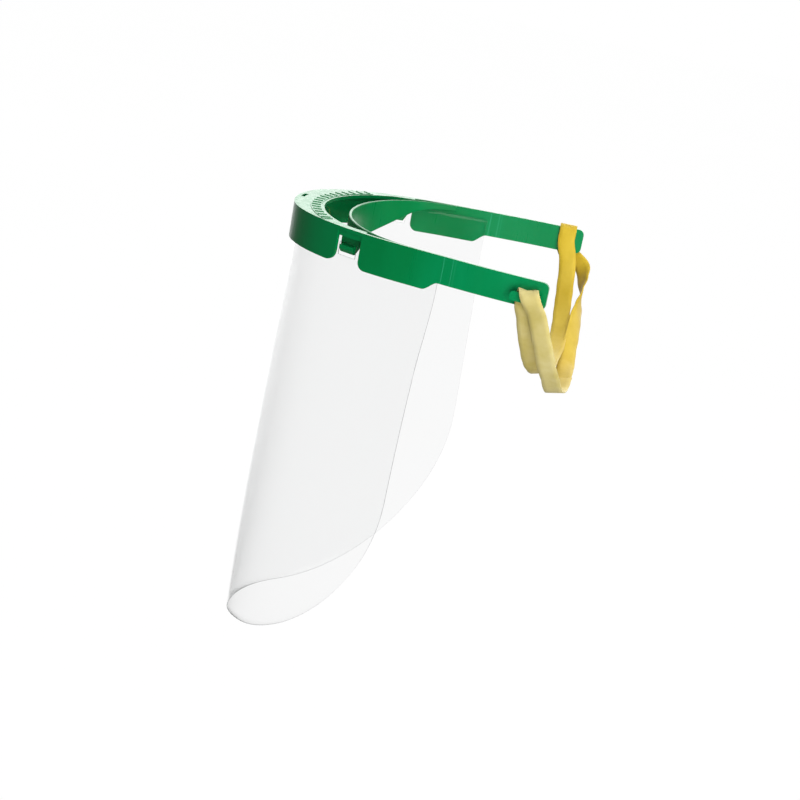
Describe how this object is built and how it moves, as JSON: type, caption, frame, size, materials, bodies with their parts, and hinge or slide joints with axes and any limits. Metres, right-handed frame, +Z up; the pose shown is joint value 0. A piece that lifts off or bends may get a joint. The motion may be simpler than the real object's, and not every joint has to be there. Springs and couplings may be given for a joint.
{
  "type": "face shield",
  "caption": "Face shield with a one-piece green head frame, a clear bent visor held by spring tabs, and a flat latex band hung on two arm hooks.",
  "frame": {"origin": "middle of the forehead face of the head strip, half-way up its height, on the wearer's middle plane", "axes": "+X towards the wearer's left, -Y forward through the visor, +Z up, square to the flat top face of the frame"},
  "size_m": [0.1806, 0.1805, 0.265],
  "materials": {
    "frame_green": "smooth moulded polypropylene",
    "visor_clear": "clear polyester sheet",
    "band_latex": "matt natural latex"
  },
  "bodies": {
    "frame": {"brim": "frame_green", "brim_pad": "frame_green", "front_skirt": "frame_green", "headband": "frame_green", "left_bridge": "frame_green", "right_bridge": "frame_green", "left_side_skirt": "frame_green", "right_side_skirt": "frame_green", "visor": "visor_clear"},
    "left_temple": {"left_arm": "frame_green", "left_band_hook": "frame_green", "left_band": "band_latex"},
    "right_temple": {"right_arm": "frame_green", "right_band_hook": "frame_green", "right_band": "band_latex"},
    "left_tab": {"left_visor_tab": "frame_green"},
    "right_tab": {"right_visor_tab": "frame_green"},
    "front_tab": {"front_visor_tab": "frame_green"}
  },
  "joints": [
    {"name": "left_arm_flex", "type": "hinge", "parent": "frame", "child": "left_temple", "pos_m": [0.07585, 0.07132, 0.0025], "axis": [0, 0, 1], "range_deg": [-12, 8], "stiffness_Nm_per_rad": 0.45, "deforming": ["left_band"]},
    {"name": "right_arm_flex", "type": "hinge", "parent": "frame", "child": "right_temple", "pos_m": [-0.07585, 0.07132, 0.0025], "axis": [0, 0, -1], "range_deg": [-12, 8], "stiffness_Nm_per_rad": 0.45, "deforming": ["right_band"]},
    {"name": "left_tab_flex", "type": "hinge", "parent": "frame", "child": "left_tab", "pos_m": [0.05831, 0.01358, 0.008], "axis": [0.3855, 0.9227, 0], "range_deg": [0, 15], "stiffness_Nm_per_rad": 0.5},
    {"name": "right_tab_flex", "type": "hinge", "parent": "frame", "child": "right_tab", "pos_m": [-0.05831, 0.01358, 0.008], "axis": [0.3855, -0.9227, 0], "range_deg": [0, 15], "stiffness_Nm_per_rad": 0.5},
    {"name": "front_tab_flex", "type": "hinge", "parent": "frame", "child": "front_tab", "pos_m": [0, -0.03075, 0.008], "axis": [1, 0, 0], "range_deg": [0, 12], "stiffness_Nm_per_rad": 0.5}
  ]
}
